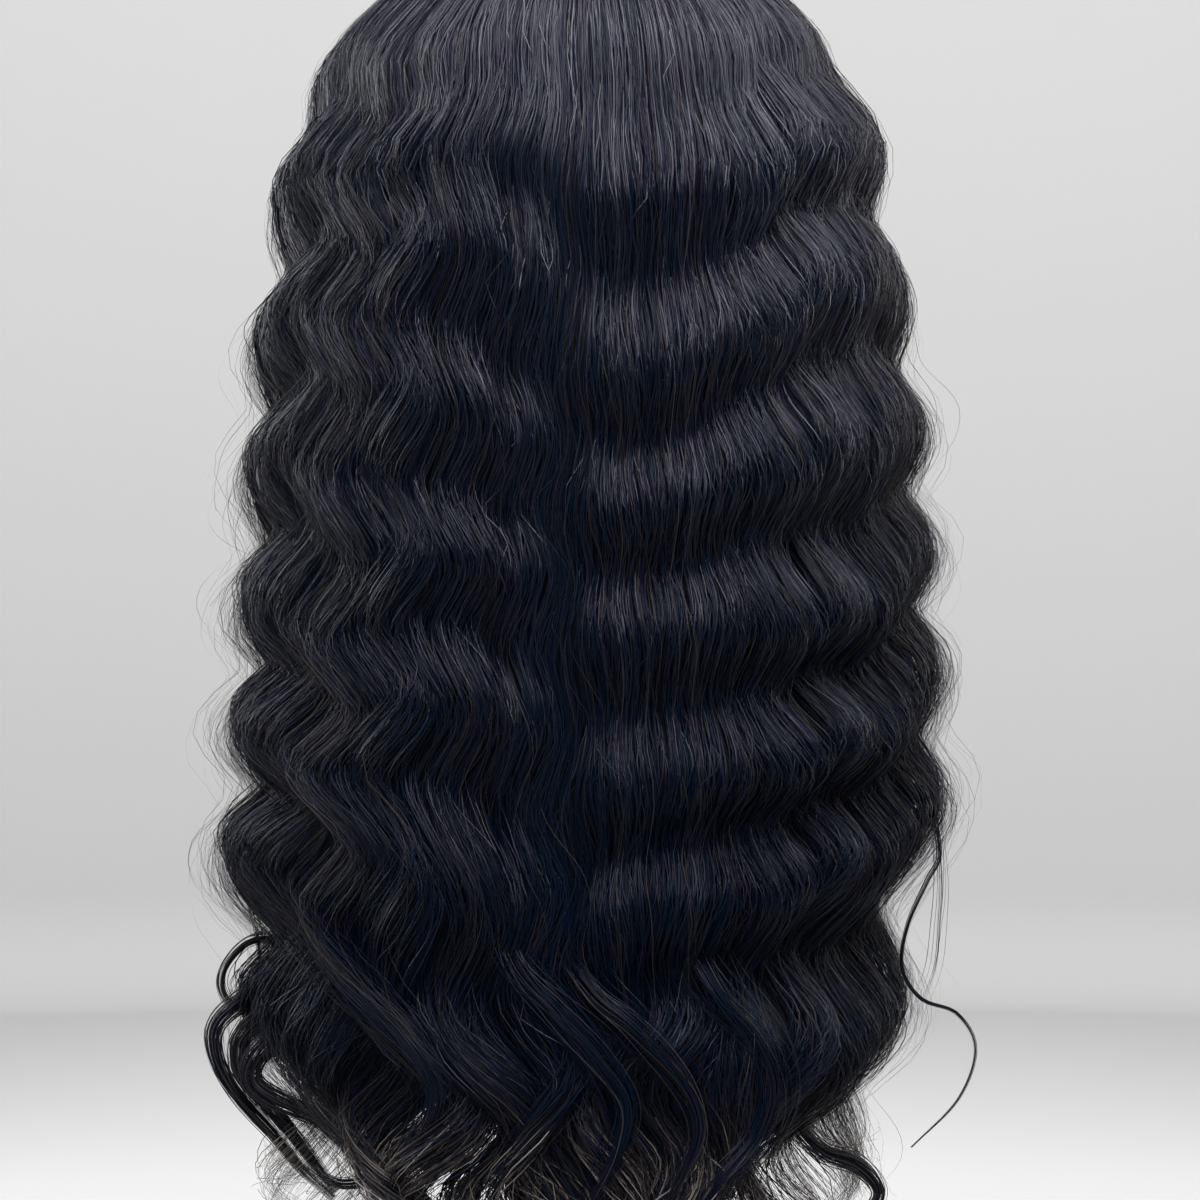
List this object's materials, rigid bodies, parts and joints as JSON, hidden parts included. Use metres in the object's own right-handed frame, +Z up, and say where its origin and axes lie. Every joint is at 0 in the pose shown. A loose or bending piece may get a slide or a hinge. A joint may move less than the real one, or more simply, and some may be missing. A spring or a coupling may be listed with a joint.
{
  "type": "lace part wig",
  "caption": "Long waved black wig with a centre part: a stretch-net cap with a lace strip under the part, and hair falling in loose waves round the back and sides.",
  "frame": {"origin": "the top of the head inside the cap, where the wig sits on the head", "axes": "+Z up, -Y towards the face side, -X towards the wearer's right"},
  "size_m": [0.2682, 0.2254, 0.5253],
  "materials": {
    "hair": "blue-black hair with a soft sheen",
    "cap_net": "matt black stretch net",
    "lace": "matt brown lace"
  },
  "bodies": {
    "root": {"cap": "cap_net", "lace_part": "lace", "hair_front_left": "hair", "hair_side_left": "hair", "hair_back": "hair", "hair_side_right": "hair", "hair_front_right": "hair"}
  },
  "joints": []
}
